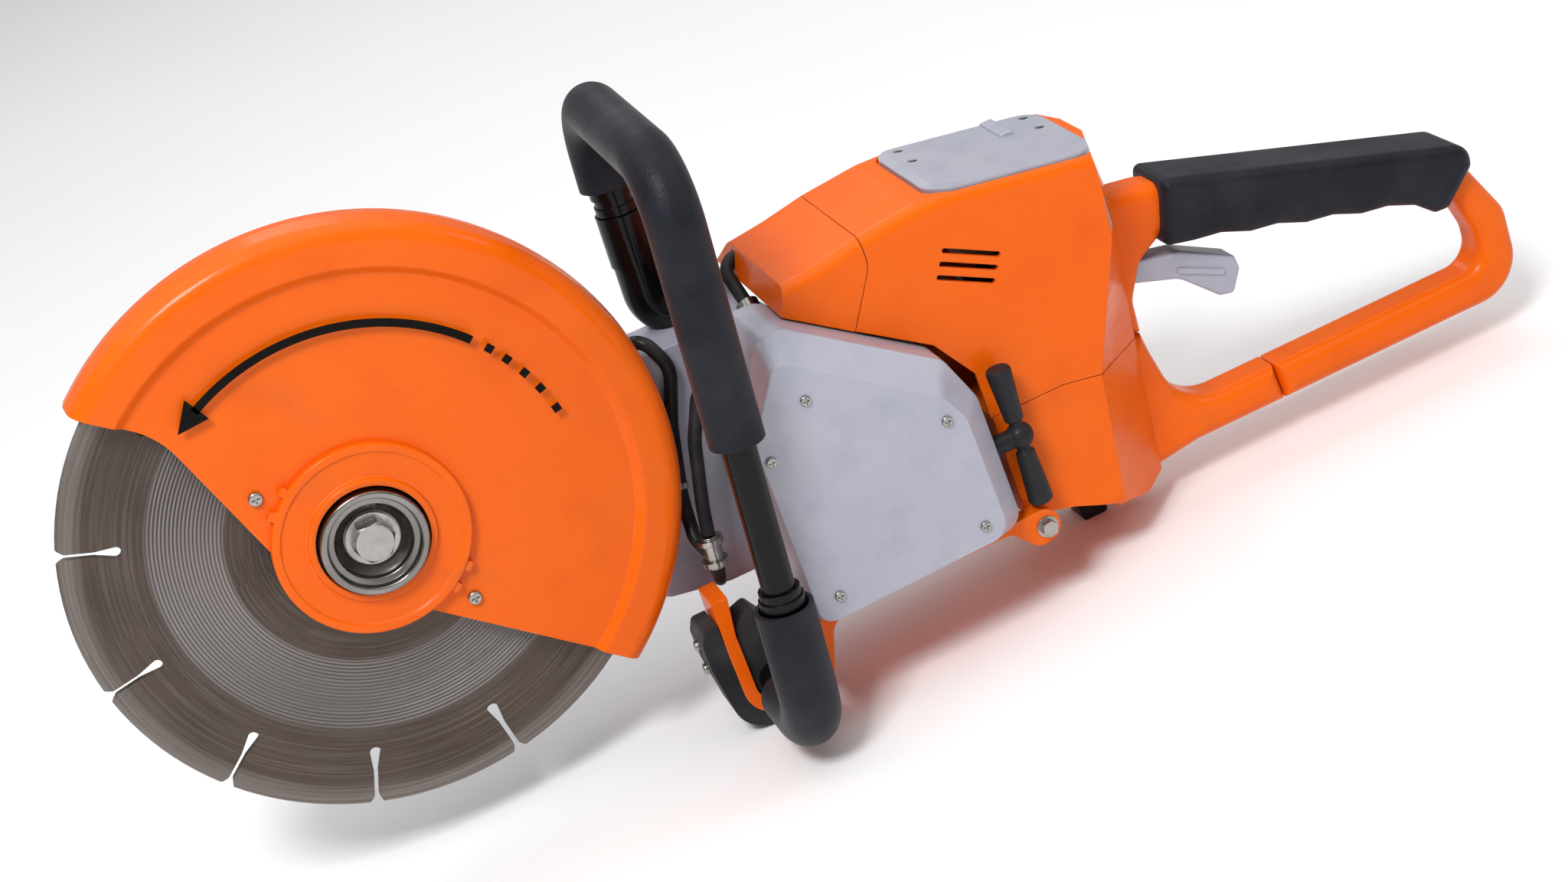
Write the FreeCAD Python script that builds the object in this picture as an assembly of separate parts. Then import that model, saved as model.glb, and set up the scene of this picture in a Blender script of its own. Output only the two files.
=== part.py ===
import FreeCAD
import Part
import math
import os

V = FreeCAD.Vector

# Petrol rescue saw, millimetres.  While it is drawn, the blade axis runs along Y
# through x = 0, z = 0, +X points to the rear handle, +Y to the operator's right and
# +Z up.  The last lines move everything so that the origin is the bottom centre.

# --- driving dimensions: blade, flanges and guard
BLADE_R = 150.0
BLADE_T = 4.0
ARBOR_R = 10.0
SLOT_COUNT = 12
SLOT_DEPTH = 31.0
SLOT_PHASE = 9.4
GROOVE_COUNT = 19
FLANGE_R = 27.0
FLANGE_Y = -23.0
GUARD_GAP = 7.0
GUARD_WALL = 3.0
GUARD_SIDE_GAP = 9.0
GUARD_RIM_SWELL = 4.0
HUB_CAP_R = 49.5
SNOUT_R = 26.0
RUN_CLEAR = 0.06
BODY_CLEAR = 0.4

# --- driving dimensions: machine
GUARD_R = BLADE_R + GUARD_GAP + GUARD_WALL
EX = GUARD_R + 22.0            # x of the fan housing's front wall; other parts count from it
MID_Y = 17.0                   # middle plane of shroud, tank and rear handle
BODY_HALF = 57.0               # half width of the shroud and the tank
WALL = 3.0
FLOOR_Z = -185.0
HOUSING_BOTTOM = -124.0
COVER_Y = -75.0
HOUSING_Y = -60.0
CASE_Y = -14.0
CASE_END_Y = 21.0
ARM_Y = 22.0
ARM_END_Y = 58.0
ARM_WALL = 5.0
ARM_COVER_T = 5.0
CRANK_U = 58.0
CRANK_Z = -62.0
CYL_TILT = 35.0
BORE_R = 23.0
BLADE_PULLEY_R = 30.0
CLUTCH_PULLEY_R = 17.0
BELT_T = 4.0
BELT_Y0 = 45.5
BELT_W = 10.0

# --- driving dimensions: front handle, foot, rear handle
TUBE_R = 8.5
TUBE_WALL = 2.0
SLEEVE_R = 14.0
LOW_SLEEVE_R = 15.0
LEG_Y = -97.0
FAR_LEG_Y = 57.0
HANDLE_TOP_Z = 140.0
LEG_TOP_U = 2.0
LEG_FOOT_U = -24.0
BUSH_WALL = 3.0
STRAP_T = 7.0
PAD_T = 6.0
FOOT_Y0 = -28.0
FOOT_Y1 = -4.0
GRIP_HALF = 22.0
BAR_HALF = 14.0
ROPE_R = 2.0
REEL_R = 19.5
ROPE_Y = -52.0
HOSE_R = 3.6

TUBE_Z = FLOOR_Z + PAD_T + STRAP_T + BUSH_WALL + TUBE_R
CRANK_X = EX + CRANK_U
Y_AXIS = V(0, 1, 0)
Z_AXIS = V(0, 0, 1)
ORIGIN = V(0, 0, 0)


# ---------------------------------------------------------------- drawing helpers
def outline(corners):
    """Closed wire in the XZ plane; a corner is (x, z) or (x, z, radius)."""
    points = [V(c[0], 0, c[1]) for c in corners]
    stations = []
    for i, corner in enumerate(corners):
        here = points[i]
        if len(corner) < 3 or corner[2] <= 0:
            stations.append((here, None, here))
            continue
        back = (points[i - 1] - here).normalize()
        ahead = (points[(i + 1) % len(points)] - here).normalize()
        half = back.getAngle(ahead) / 2
        run = corner[2] / math.tan(half)
        inward = (back + ahead).normalize()
        middle = here + inward * (corner[2] / math.sin(half) - corner[2])
        stations.append((here + back * run, middle, here + ahead * run))
    edges = []
    for i, (start, middle, end) in enumerate(stations):
        if middle is not None:
            edges.append(Part.Arc(start, middle, end).toShape())
        following = stations[(i + 1) % len(stations)][0]
        if end.distanceToPoint(following) > 1e-6:
            edges.append(Part.LineSegment(end, following).toShape())
    return Part.Wire(edges)


def slab(corners, y0, y1, x0=None):
    """Outline in XZ, drawn from the housing front unless x0 is given, thick from y0 to y1."""
    solid = Part.Face(outline(corners)).extrude(V(0, y1 - y0, 0))
    solid.translate(V(EX if x0 is None else x0, y0, 0))
    return solid


def lathe(corners, x=0.0, z=0.0):
    """Solid of revolution about Y; a corner is (radius, y) or (radius, y, round)."""
    face = Part.Face(outline(corners))
    face.rotate(ORIGIN, V(1, 0, 0), -90)
    solid = face.revolve(ORIGIN, Y_AXIS, 360)
    solid.translate(V(x, 0, z))
    return solid


def disc(r, y0, y1, x=0.0, z=0.0):
    return Part.makeCylinder(r, y1 - y0, V(x, y0, z), Y_AXIS)


def ring(r_out, r_in, y0, y1, x=0.0, z=0.0):
    return disc(r_out, y0, y1, x, z).cut(disc(r_in, y0 - 1, y1 + 1, x, z))


def rod(p, q, r):
    return Part.makeCylinder(r, (q - p).Length, p, q - p)


def box(x0, x1, y0, y1, z0, z1):
    return Part.makeBox(x1 - x0, y1 - y0, z1 - z0, V(x0, y0, z0))


def bent_rod(points, r):
    """Round rod of straight runs and tangent arcs; inner points are (x, y, z, bend radius)."""
    spots = [V(*p[:3]) for p in points]
    pieces = []
    start = spots[0]
    for i in range(1, len(spots) - 1):
        u = (spots[i] - spots[i - 1]).normalize()
        w = (spots[i + 1] - spots[i]).normalize()
        turn = u.getAngle(w)
        run = points[i][3] * math.tan(turn / 2)
        bend_start = spots[i] - u * run
        axis = u.cross(w).normalize()
        centre = bend_start + axis.cross(u) * points[i][3]
        pieces.append(rod(start, bend_start, r))
        section = Part.Face(Part.Wire(Part.makeCircle(r, bend_start, u)))
        pieces.append(section.revolve(centre, axis, math.degrees(turn)))
        start = spots[i] + w * run
    pieces.append(rod(start, spots[-1], r))
    return pieces[0].multiFuse(pieces[1:]).removeSplitter()


def round_rims(solid, y_values, r):
    """Fillet every edge that lies in one of the planes y = value."""
    chosen = []
    for edge in solid.Edges:
        ys = [v.Y for v in edge.Vertexes] + [edge.CenterOfMass.y]
        if any(max(abs(y - value) for y in ys) < 1e-4 for value in y_values):
            chosen.append(edge)
    return solid.makeFillet(r, chosen)


def group(solids):
    return Part.makeCompound(solids)


def turned(solid, degrees):
    copy = solid.copy()
    copy.rotate(ORIGIN, Y_AXIS, degrees)
    return copy


def screw_y(x, y, z, r, head_h, length, side=-1):
    """Cross-head screw along Y; its head stands out of the plane y towards side."""
    head = lathe([(0, 0), (r, 0), (r, -head_h, r * 0.3), (0, -head_h)])
    cross = box(-r * 0.6, r * 0.6, -head_h - 1, -head_h * 0.5, -0.4, 0.4)
    cross = cross.fuse(box(-0.4, 0.4, -head_h - 1, -head_h * 0.5, -r * 0.6, r * 0.6))
    solid = head.cut(cross).fuse(disc(r * 0.5, 0, length))
    if side > 0:
        solid.rotate(ORIGIN, Z_AXIS, 180)
    solid.translate(V(x, y, z))
    return solid


def tangent_point(r, px, pz, upper):
    """Point where the line from (px, pz) touches a circle about the blade axis."""
    reach = math.hypot(px, pz)
    bearing = math.atan2(pz, px)
    swing = math.acos(r / reach)
    angle = bearing + swing if upper else bearing - swing
    return (r * math.cos(angle), r * math.sin(angle))


# ---------------------------------------------------------------- blade and spindle
def cutting_disc():
    groove_in = BLADE_R * 0.478
    groove_out = BLADE_R * 0.714
    depth = 0.45
    pitch = (groove_out - groove_in) / GROOVE_COUNT
    near = []
    far = []
    for i in range(GROOVE_COUNT):
        r = groove_in + i * pitch
        near += [(r, 0), (r + pitch / 2, depth)]
        far += [(r, BLADE_T), (r + pitch / 2, BLADE_T - depth)]
    near.append((groove_out, 0))
    far.append((groove_out, BLADE_T))
    bevel = 1.2
    profile = [(ARBOR_R, 0)] + near + [(BLADE_R - bevel, 0), (BLADE_R, bevel)]
    profile += [(BLADE_R, BLADE_T - bevel), (BLADE_R - bevel, BLADE_T)] + far[::-1] + [(ARBOR_R, BLADE_T)]
    solid = lathe(profile)
    eye = BLADE_R - SLOT_DEPTH
    keyhole = [(eye, 3.4, 2.6), (eye, -3.4, 2.6), (eye + 13, -1.3, 8), (BLADE_R - 4, -1.3, 2)]
    keyhole += [(BLADE_R + 2, -5), (BLADE_R + 2, 5), (BLADE_R - 4, 1.3, 2), (eye + 13, 1.3, 8)]
    slot = slab(keyhole, -1, BLADE_T + 1, 0)
    step = 360 / SLOT_COUNT
    return solid.cut(group([turned(slot, -SLOT_PHASE - i * step) for i in range(SLOT_COUNT)]))


def inner_flange():
    hub_r = SNOUT_R - 10
    end = BLADE_T + 8
    return lathe([(ARBOR_R, BLADE_T), (FLANGE_R, BLADE_T), (FLANGE_R, BLADE_T + 3), (hub_r, BLADE_T + 5),
                  (hub_r, end), (ARBOR_R, end)])


def outer_flange():
    rim = FLANGE_Y
    seat = rim + 10
    return lathe([(ARBOR_R, 0), (FLANGE_R, 0), (FLANGE_R, rim, 1.2), (FLANGE_R - 3.5, rim, 1.0),
                  (FLANGE_R - 4.6, rim + 3), (FLANGE_R - 7.4, rim + 3.6, 0.8), (FLANGE_R - 8.4, rim + 5.6, 0.8),
                  (FLANGE_R - 12.8, seat), (ARBOR_R, seat)])


def blade_bolt():
    seat = FLANGE_Y + 10
    washer_t = 2.0
    head_h = 7.0
    flats = 9.5
    corner = flats / math.cos(math.radians(30))
    hexagon = [(corner * math.cos(math.radians(60 * i)), corner * math.sin(math.radians(60 * i)))
               for i in range(6)]
    head = slab(hexagon, seat - washer_t - head_h, seat - washer_t, 0)
    crown = lathe([(0, seat), (corner + 0.2, seat), (corner + 0.2, seat - head_h), (corner - 1.6, seat - 9),
                   (0, seat - 9)])
    head = head.common(crown)
    washer = disc(13.5, seat - washer_t, seat)
    return head.fuse(washer).fuse(disc(5, seat, 30)).removeSplitter()


def spindle():
    seat = FLANGE_Y + 10
    shaft = disc(ARBOR_R, seat, BELT_Y0 + BELT_W + 1.8)
    return shaft.cut(disc(5, seat - 1, 30))


def pulley(r, bore, x, z):
    y0 = BELT_Y0 - 1.5
    y1 = BELT_Y0 + BELT_W + 1.5
    return lathe([(bore, y0), (r + BELT_T + 1, y0), (r + BELT_T + 1, y0 + 1), (r, y0 + 1.2), (r, y1 - 1.2),
                  (r + BELT_T + 1, y1 - 1), (r + BELT_T + 1, y1), (bore, y1)], x, z)


# ---------------------------------------------------------------- blade guard
def guard_profile(side_y, rim_y, sign, offset):
    """Half section (radius, y) of one guard shell, moved inwards by offset."""
    middle_y = BLADE_T / 2
    outer = GUARD_R - offset
    step_r = GUARD_R * 0.835
    flat = side_y - sign * offset
    swell = rim_y - sign * offset
    return [(0, flat), (step_r, flat), (step_r + 4, swell, 2), (outer - 2, swell, 9 - offset),
            (outer, middle_y)], middle_y


def guard_shell(sign):
    """sign is -1 for the near shell and +1 for the far one."""
    inner_face = BLADE_T / 2 + sign * (BLADE_T / 2 + GUARD_SIDE_GAP)
    face = inner_face + sign * GUARD_WALL
    rim = face + sign * GUARD_RIM_SWELL
    skins = []
    for offset in (0, GUARD_WALL):
        points, middle_y = guard_profile(face, rim, sign, offset)
        skins.append(lathe(points + [(0, middle_y)]))
    return skins[0].cut(skins[1]), face


def guard_window():
    """Region the guard covers: the upper rear half, with its curved front edge."""
    big = GUARD_R * 1.5
    front = GUARD_R * 0.45
    return [(-GUARD_R * 0.85, GUARD_R * 0.9), (-front, GUARD_R * 0.575, 45), (-46, 10), (12, -HUB_CAP_R),
            (GUARD_R * 0.72, -GUARD_R * 0.865), (big, -GUARD_R * 0.865), (big, big), (-GUARD_R * 0.85, big)]


def guard_half(sign, hub_hole):
    shell, face = guard_shell(sign)
    low, high = sorted((face + sign * 30, -sign * 2))
    keep = slab(guard_window(), low, high, 0).fuse(disc(HUB_CAP_R, low, high))
    return shell.common(keep).cut(disc(hub_hole, -60, 60))


def guard_near():
    return guard_half(-1, FLANGE_R + 6).cut(guard_screws())


def guard_far():
    face = BLADE_T + GUARD_SIDE_GAP + GUARD_WALL
    shell = guard_half(1, SNOUT_R + RUN_CLEAR)
    boss = ring(SNOUT_R + 7, SNOUT_R + RUN_CLEAR, face - GUARD_WALL, face + 4)
    return shell.fuse(boss).removeSplitter()


def guard_hub_cap():
    seat = -GUARD_SIDE_GAP - GUARD_WALL
    bore = FLANGE_R + 1.5
    top = seat - 5
    cap = lathe([(bore, seat), (HUB_CAP_R, seat), (HUB_CAP_R, top, 1.2), (HUB_CAP_R - 4, top, 0.8),
                 (HUB_CAP_R - 5, top + 1), (bore + 4, top + 1), (bore + 3, top - 1.5, 1),
                 (bore, top - 1.5)])
    lugs = []
    for angle in (126, 141, -43, -57):
        lug = box(HUB_CAP_R - 1.5, HUB_CAP_R + 3, top + 1, seat, -2.5, 2.5)
        lugs.append(turned(lug, -angle))
    return cap.multiFuse(lugs)


def guard_screws():
    seat = -GUARD_SIDE_GAP - GUARD_WALL
    places = [(135, 61), (-57.5, 63)]
    heads = []
    for angle, reach in places:
        x = reach * math.cos(math.radians(angle))
        z = reach * math.sin(math.radians(angle))
        heads.append(screw_y(x, seat, z, 3.6, 2.4, GUARD_WALL + 1.5))
    return group(heads)


# ---------------------------------------------------------------- belt drive
def arm_face():
    """Outline face of the belt arm: round the spindle, flat on top, stepped down under the cylinder."""
    r = 46.0
    top = 12.0
    low = HOUSING_BOTTOM + 1
    toe_x = EX - 52
    shoulder_x = EX - 17
    lean = math.radians(CYL_TILT)
    notch = [(CRANK_X + (DECK - 0.6) * math.sin(lean) + w * math.cos(lean),
              CRANK_Z + (DECK - 0.6) * math.cos(lean) - w * math.sin(lean)) for w in (-31, 44)]
    corners = [tangent_point(r, shoulder_x, top, True), (shoulder_x, top, 30), (EX + 44, top, 10),
               (*notch[0], 4), (*notch[1], 6), (EX + 124, notch[1][1] - 8, 8), (EX + 124, low, 20),
               (EX - 20, low, 10), (toe_x, low + 6, 8), tangent_point(r, toe_x, low + 6, False)]
    round_end = Part.Face(Part.Wire(Part.makeCircle(r, ORIGIN, Y_AXIS)))
    return Part.Face(outline(corners)).fuse(round_end).removeSplitter().Faces[0]


def arm_blank(inset, y0, y1):
    face = arm_face()
    if inset:
        face = face.makeOffset2D(-inset)
    solid = face.extrude(V(0, y1 - y0, 0))
    solid.translate(V(0, y0, 0))
    return solid


def belt_arm():
    body = arm_blank(0, ARM_Y, ARM_END_Y)
    body = body.cut(arm_blank(ARM_WALL, ARM_Y + ARM_WALL, ARM_END_Y + 1))
    snout = disc(SNOUT_R, BLADE_T + 9, ARM_Y + ARM_WALL + 14)
    body = body.fuse(snout)
    body = body.cut(disc(14, 0, ARM_Y + ARM_WALL + 20))
    body = body.cut(disc(16, ARM_Y - 1, ARM_Y + ARM_WALL + 1, CRANK_X, CRANK_Z))
    return body.removeSplitter()


def belt_cover():
    y0 = ARM_END_Y
    plate = arm_blank(0, y0, y0 + ARM_COVER_T)
    ear = slab([(6, 0), (16, 23, 8), (40, 23, 8), (52, 0)], y0, y0 + ARM_COVER_T)
    rib = arm_blank(14, y0 + ARM_COVER_T, y0 + ARM_COVER_T + 2.5)
    return plate.fuse(ear).fuse(rib).removeSplitter().cut(arm_screws())


def arm_screws():
    y = ARM_END_Y + ARM_COVER_T
    places = [(-36, 16), (-36, -16), (EX - 44, -112), (EX + 117, -115), (EX + 118, -66), (EX - 50, 13)]
    return group([screw_y(x, y, z, 3.6, 3, 4, 1) for x, z in places])


def ball_bearings():
    rings = []
    for y0 in (BLADE_T + 10, ARM_Y + 8):
        rings.append(ring(14, ARBOR_R, y0, y0 + 8))
    rings.append(ring(16, 8, ARM_Y - 6, ARM_Y - 1, CRANK_X, CRANK_Z))
    rings.append(ring(16, 8, CASE_Y, CASE_Y + 5, CRANK_X, CRANK_Z))
    return group(rings)


def belt_path(r_add):
    """Outline of a band round both pulleys, r_add outside their working radii."""
    r0 = BLADE_PULLEY_R + r_add
    r1 = CLUTCH_PULLEY_R + r_add
    span = math.hypot(CRANK_X, CRANK_Z)
    lean = math.atan2(CRANK_Z, CRANK_X)
    open_angle = math.acos((r0 - r1) / span)
    spots = []
    for cx, cz, r in ((0, 0, r0), (CRANK_X, CRANK_Z, r1)):
        spots.append([V(cx + r * math.cos(lean + s * open_angle), 0, cz + r * math.sin(lean + s * open_angle))
                      for s in (1, -1)])
    back = V(-r0 * math.cos(lean), 0, -r0 * math.sin(lean))
    front = V(CRANK_X + r1 * math.cos(lean), 0, CRANK_Z + r1 * math.sin(lean))
    edges = [Part.LineSegment(spots[0][0], spots[1][0]).toShape(),
             Part.Arc(spots[1][0], front, spots[1][1]).toShape(),
             Part.LineSegment(spots[1][1], spots[0][1]).toShape(),
             Part.Arc(spots[0][1], back, spots[0][0]).toShape()]
    return Part.Face(Part.Wire(edges))


def drive_belt():
    band = belt_path(BODY_CLEAR + BELT_T).cut(belt_path(BODY_CLEAR)).extrude(V(0, BELT_W - 2, 0))
    band.translate(V(0, BELT_Y0 + 1, 0))
    return band


# ---------------------------------------------------------------- crank group
def crankshaft():
    shaft = disc(8, HOUSING_Y + 14.5, ARM_Y + 28, CRANK_X, CRANK_Z)
    for y0 in (CASE_Y + 8, CASE_Y + 20):
        shaft = shaft.fuse(disc(34, y0, y0 + 8, CRANK_X, CRANK_Z))
    pin_x = CRANK_X + 18 * math.sin(math.radians(CYL_TILT))
    pin_z = CRANK_Z + 18 * math.cos(math.radians(CYL_TILT))
    return shaft.fuse(disc(7, CASE_Y + 8, CASE_Y + 28, pin_x, pin_z)).removeSplitter()


def flywheel_fan():
    y0 = CASE_Y - 26
    wheel = ring(50, 8, y0 + 14, y0 + 18, CRANK_X, CRANK_Z)
    wheel = wheel.fuse(ring(22, 8, y0, y0 + 18, CRANK_X, CRANK_Z))
    blades = []
    count = 14
    for i in range(count):
        vane = box(24, 49, y0, y0 + 14, -1.2, 1.2)
        vane.rotate(V(24, 0, 0), Y_AXIS, 25)
        vane.rotate(ORIGIN, Y_AXIS, i * 360 / count)
        vane.translate(V(CRANK_X, 0, CRANK_Z))
        blades.append(vane)
    return wheel.multiFuse(blades).removeSplitter()


def clutch_shoes():
    y0 = ARM_Y + ARM_WALL + 2.5
    core = ring(34, 8, y0, y0 + 9, CRANK_X, CRANK_Z)
    cuts = []
    for i in range(3):
        cut = box(18, 40, y0 - 1, y0 + 10, -2, 2)
        cut.rotate(ORIGIN, Y_AXIS, i * 120 + 20)
        cut.translate(V(CRANK_X, 0, CRANK_Z))
        cuts.append(cut)
    return core.cut(group(cuts))


def clutch_drum():
    y0 = ARM_Y + ARM_WALL + 2
    y1 = BELT_Y0 - 1.5
    cup = lathe([(8 + RUN_CLEAR, y1 - 3), (35, y1 - 3), (35, y0), (38, y0), (38, y1), (8 + RUN_CLEAR, y1)],
                CRANK_X, CRANK_Z)
    return cup.fuse(pulley(CLUTCH_PULLEY_R, 8 + RUN_CLEAR, CRANK_X, CRANK_Z)).removeSplitter()


# ---------------------------------------------------------------- engine
def along_cylinder(solid):
    """Place a solid drawn up Z from the crank axis onto the tilted cylinder axis."""
    solid.rotate(ORIGIN, Y_AXIS, CYL_TILT)
    solid.translate(V(CRANK_X, MID_Y - 10, CRANK_Z))
    return solid


DECK = 46.0


def crankcase():
    deck = along_cylinder(box(-70, 70, -60, 60, DECK, DECK + 120))
    body = slab([(-1, HOUSING_BOTTOM, 8), (118, HOUSING_BOTTOM, 8), (118, -20), (60, 20), (56, -16, 6),
                 (-1, -16, 8)], CASE_Y, CASE_END_Y)
    body = body.cut(deck)
    body = body.cut(disc(36, CASE_Y + 5, CASE_END_Y - 5, CRANK_X, CRANK_Z))
    body = body.cut(disc(16, CASE_Y - 1, CASE_END_Y + 1, CRANK_X, CRANK_Z))
    body = body.cut(along_cylinder(Part.makeCylinder(min(BORE_R, 12), DECK + 5)))
    hollow = slab([(5, HOUSING_BOTTOM + 6), (16, HOUSING_BOTTOM + 6), (16, -22), (5, -22)], CASE_Y - 1, 15)
    return body.cut(hollow)


def cylinder():
    height = 52.0
    barrel = Part.makeCylinder(BORE_R + 5, height, V(0, 0, DECK))
    fins = []
    for i in range(7):
        z0 = DECK + 6 + i * 6.5
        fin = Part.makeBox(58, 58, 2.2, V(-29, -29, z0))
        fins.append(fin.makeFillet(8, [e for e in fin.Edges if abs(e.Vertexes[0].Z - e.Vertexes[1].Z) > 1]))
    solid = barrel.multiFuse(fins).fuse(Part.makeBox(60, 60, 4, V(-30, -30, DECK)))
    solid = solid.cut(Part.makeCylinder(BORE_R, height - 8, V(0, 0, DECK - 1)))
    solid = solid.cut(Part.makeCylinder(5, 30, V(0, 0, DECK + height - 12)))
    keep = Part.makeBox(80, 60, 200, V(-40, CASE_Y + 0.6 - MID_Y + 10, 0))
    return along_cylinder(solid.common(keep))


def muffler():
    """Silencer box between the nose and the cylinder, with its outlet pipe."""
    body = slab([(57, 4, 3), (57, 37, 5), (90, 40, 4), (86, 32, 2), (67, 5, 3)], CASE_Y + 1, CASE_END_Y)
    outlet = rod(V(EX + 60, 3, 16), V(EX + 48, 3, 11), 5)
    return body.fuse(outlet).cut(rod(V(EX + 58, 3, 15.2), V(EX + 46, 3, 10.2), 3.5))


def spark_plug():
    base = DECK + 52.0
    plug = Part.makeCylinder(5, 10, V(0, 0, base - 8))
    plug = plug.fuse(Part.makeCylinder(7, 6, V(0, 0, base)))
    return along_cylinder(plug.fuse(Part.makeCylinder(4, 6, V(0, 0, base + 6))))


def carburettor():
    body = box(0, 26, -14, 14, -14, 14)
    throat = Part.makeCylinder(8, 30, V(-1, 0, 0), V(1, 0, 0))
    body = body.cut(throat).fuse(Part.makeCylinder(9, 5, V(8, 0, -19)))
    body.translate(V(EX + 166, MID_Y, -30))
    return body


def intake_boot():
    x0 = EX + 150
    pipe = rod(V(x0, MID_Y, -30), V(EX + 166, MID_Y, -30), 13)
    return pipe.cut(rod(V(x0 - 1, MID_Y, -30), V(EX + 167, MID_Y, -30), 9))


def air_filter():
    pleats = []
    count = 16
    width = 60.0 / count
    for i in range(count):
        x = EX + 150 + i * width
        top = 26.0 - 0.19 * (x - EX - 150)
        pleats += [(x, 2), (x + width * 0.25, top), (x + width * 0.75, top)]
    x_end = EX + 150 + 60
    corners = [(EX + 150, -4)] + [(p[0], p[1]) for p in pleats] + [(x_end, 2), (x_end, -4)]
    return slab(corners, MID_Y - 22, MID_Y + 22, 0)


# ---------------------------------------------------------------- fan housing and starter
HOUSING_U = 117.5
HOUSING_LINE = [(-1, HOUSING_BOTTOM, 8), (119, HOUSING_BOTTOM, 10), (HOUSING_U, -48, 16), (107, -22, 10),
                (36, 29.5, 10), (22, 29.5, 8), (-1, -12, 15)]
COVER_LINE = [(1, -120, 8), (107, -118, 10), (105, -49, 12), (97, -34, 10), (29, 18, 10), (22, 18, 6),
              (1, -14, 12)]


def inset_line(line, amount):
    """Outline moved inwards: a scaled copy about its middle, close to an even wall."""
    xs = [c[0] for c in line]
    zs = [c[1] for c in line]
    mx = (min(xs) + max(xs)) / 2
    mz = (min(zs) + max(zs)) / 2
    sx = 1 - 2 * amount / (max(xs) - min(xs))
    sz = 1 - 2 * amount / (max(zs) - min(zs))
    return [(mx + (c[0] - mx) * sx, mz + (c[1] - mz) * sz, max(c[2] - amount, 1)) for c in line]


def cover_blank(inset):
    front = outline(inset_line(COVER_LINE, inset))
    front.translate(V(EX, COVER_Y + inset, 0))
    back = outline(inset_line(HOUSING_LINE, inset))
    back.translate(V(EX, HOUSING_Y, 0))
    return Part.makeLoft([front, back], True, True)


def starter_cover():
    return cover_blank(0).cut(cover_blank(WALL)).cut(cover_screws())


def fan_housing():
    shell = slab(HOUSING_LINE, HOUSING_Y, CASE_Y)
    shell = shell.cut(slab(inset_line(HOUSING_LINE, WALL + 1), HOUSING_Y - 1, CASE_Y + 1))
    hole = rod(V(EX + HOUSING_U - 10, ROPE_Y, rope_z()), V(EX + HOUSING_U + 10, ROPE_Y, rope_z()), 5.5)
    return shell.cut(hole)


def rope_z():
    return CRANK_Z - REEL_R


COVER_SCREWS = [(32, -4), (95, -46), (96, -108), (14, -108), (5.5, -26)]


def cover_screws():
    return group([screw_y(EX + u, COVER_Y, z, 2.8, 1.6, WALL) for u, z in COVER_SCREWS])


def rope_bush():
    z = rope_z()
    x0 = EX + HOUSING_U - 4.5
    x1 = EX + HOUSING_U + 2
    bush = rod(V(x0, ROPE_Y, z), V(x1, ROPE_Y, z), 5.5)
    collar = rod(V(x1 - 1.2, ROPE_Y, z), V(x1, ROPE_Y, z), 7.5)
    return bush.fuse(collar).cut(rod(V(x0 - 1, ROPE_Y, z), V(x0 + 20, ROPE_Y, z), ROPE_R + 0.6))


GRIP_U = 134.0


def starter_grip():
    x = EX + GRIP_U
    z = rope_z()
    ball = Part.makeSphere(7.2, V(x, ROPE_Y, z))
    neck = rod(V(EX + HOUSING_U + 2.4, ROPE_Y, z), V(x, ROPE_Y, z), 5.2)
    wing = outline([(0, 0), (3.4, 0), (3.6, 8.6, 1), (5.0, 9.6, 1), (6.6, 37, 3), (6.0, 39, 1), (0, 39)])
    face = Part.Face(wing)
    up = face.revolve(ORIGIN, Z_AXIS, 360)
    down = up.copy()
    down.rotate(ORIGIN, V(1, 0, 0), 180)
    for half in (up, down):
        half.translate(V(x, ROPE_Y, z))
    solid = ball.fuse(neck).fuse(up).fuse(down)
    return solid.cut(rod(V(x - 20, ROPE_Y, z), V(x - 4, ROPE_Y, z), ROPE_R)).removeSplitter()


def starter_rope():
    z = rope_z()
    start = V(CRANK_X, ROPE_Y, z)
    return rod(start, V(EX + GRIP_U - 4, ROPE_Y, z), ROPE_R)


def starter_reel():
    y0 = ROPE_Y - 5
    y1 = ROPE_Y + 5
    seat = REEL_R - ROPE_R - 0.4
    return lathe([(4 + RUN_CLEAR, y0), (REEL_R + 8, y0), (REEL_R + 8, y0 + 2), (seat, y0 + 2), (seat, y1 - 2),
                  (REEL_R + 8, y1 - 2), (REEL_R + 8, y1), (4 + RUN_CLEAR, y1)], CRANK_X, CRANK_Z)


def reel_post():
    """Post in the starter cover that the reel turns on, with its screw and washer."""
    y0 = COVER_Y + WALL
    return disc(9, y0, ROPE_Y - 6, CRANK_X, CRANK_Z).fuse(disc(4, ROPE_Y - 6, ROPE_Y + 5.4, CRANK_X, CRANK_Z))


def recoil_spring():
    """Flat spring strip wound round the post in the cover."""
    turns = 6
    inner = 10.0
    pitch = 2.2
    strip = 0.8
    pieces = []
    for i in range(turns):
        r = inner + i * pitch
        pieces.append(ring(r + strip, r, COVER_Y + WALL + 1.5, COVER_Y + WALL + 9.5, CRANK_X, CRANK_Z))
    for i in range(turns - 1):
        r = inner + i * pitch
        pieces.append(box(CRANK_X + r + 0.2, CRANK_X + r + pitch + 0.4, COVER_Y + WALL + 1.5,
                          COVER_Y + WALL + 9.5, CRANK_Z - 0.5, CRANK_Z + 0.5))
    return pieces[0].multiFuse(pieces[1:]).removeSplitter()


# ---------------------------------------------------------------- shrouds and tank
# Stations of the body from nose to rear wall: (u, top z).
BODY_STATIONS = [(34, 38.5), (68, 42.5), (93, 47), (125, 50), (140, 49.5), (243, 32)]
SPLIT_Z = -72.0
TANK_BOTTOM = -164.0
# Rear faces of the body by height: (z, u of the side edge, u of the rear wall).
REAR_LINE = [(80, 218, 229), (20, 219, 233), (-10, 216, 236), (-76, 189, 227), (-150, 180, 220), (-200, 174, 214)]


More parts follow.
